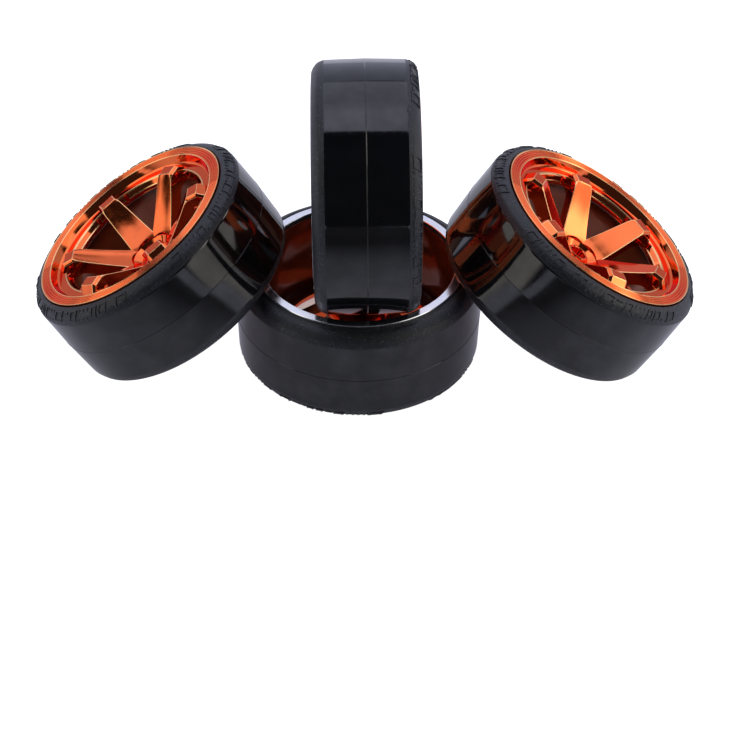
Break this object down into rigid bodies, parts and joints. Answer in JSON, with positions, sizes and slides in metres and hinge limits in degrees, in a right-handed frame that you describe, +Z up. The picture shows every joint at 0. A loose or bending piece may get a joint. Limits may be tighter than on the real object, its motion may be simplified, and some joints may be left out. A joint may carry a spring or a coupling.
{
  "type": "drift wheel set",
  "caption": "Pile of model drift-car wheels: smooth hard tyres on dished spoke rims with orange mirror plating, stacked around a wheel that lies flat.",
  "frame": {"origin": "middle of the pile's footprint, on the surface that it stands on", "axes": "+Z up; +X towards the wheel that leans on the right, and along the row of wheels; -Y towards the viewer"},
  "size_m": [0.1676, 0.0652, 0.0809],
  "materials": {
    "tyre": "hard drift tyre: polished tread with a fine parting line, satin sidewall with a fine sparkle",
    "rim": "moulded plastic with orange mirror plating in front, bare bright plating on the back flange"
  },
  "bodies": {
    "lying_wheel": {"lying_tyre": "tyre", "lying_rim": "rim"},
    "standing_wheel": {"standing_tyre": "tyre", "standing_rim": "rim"},
    "left_wheel": {"left_tyre": "tyre", "left_rim": "rim"},
    "right_wheel": {"right_tyre": "tyre", "right_rim": "rim"}
  },
  "joints": [
    {"name": "standing_lift", "type": "slide", "parent": "lying_wheel", "child": "standing_wheel", "axis": [0, 0, 1], "range_m": [0, 0.045]},
    {"name": "left_lift", "type": "slide", "parent": "lying_wheel", "child": "left_wheel", "axis": [0, 0, 1], "range_m": [0, 0.04]},
    {"name": "right_lift", "type": "slide", "parent": "lying_wheel", "child": "right_wheel", "axis": [0, 0, 1], "range_m": [0, 0.04]}
  ]
}
